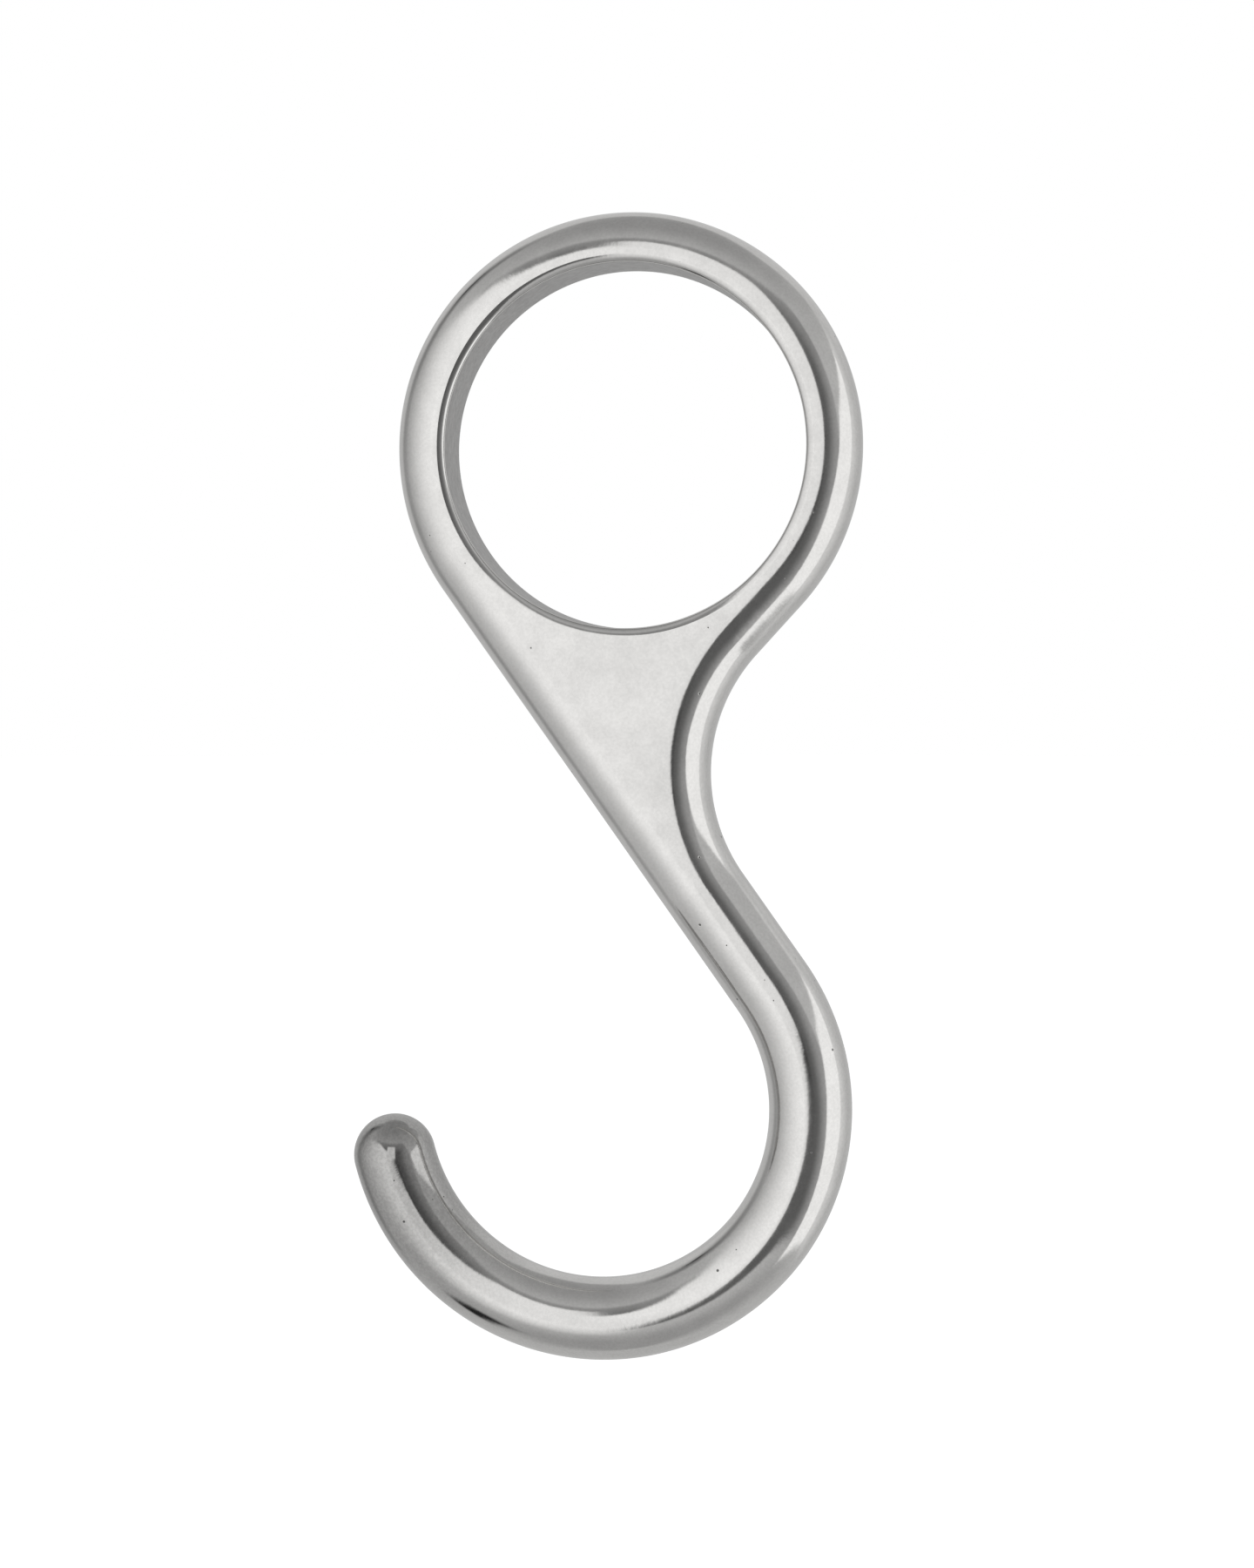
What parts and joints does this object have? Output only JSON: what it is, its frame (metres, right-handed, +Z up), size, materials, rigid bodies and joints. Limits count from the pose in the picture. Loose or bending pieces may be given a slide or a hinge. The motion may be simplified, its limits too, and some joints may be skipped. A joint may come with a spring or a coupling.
{
  "type": "belay hook",
  "caption": "One-piece polished metal hook with a round bored eye, a flat web and an open J-shaped bowl, for hanging or running a rope over a round rail.",
  "frame": {"origin": "centre of the eye's bore, at the middle of the thickness", "axes": "+Z up from the hook to the eye, +X towards the side of the hollow waist, +Y along the bore, out of the back face"},
  "size_m": [0.0719, 0.0116, 0.1603],
  "materials": {
    "polished_metal": "hand-polished cast metal, satin on the flats and bright on the rounded bar"
  },
  "bodies": {
    "root": {"hook_body": "polished_metal"}
  },
  "joints": []
}
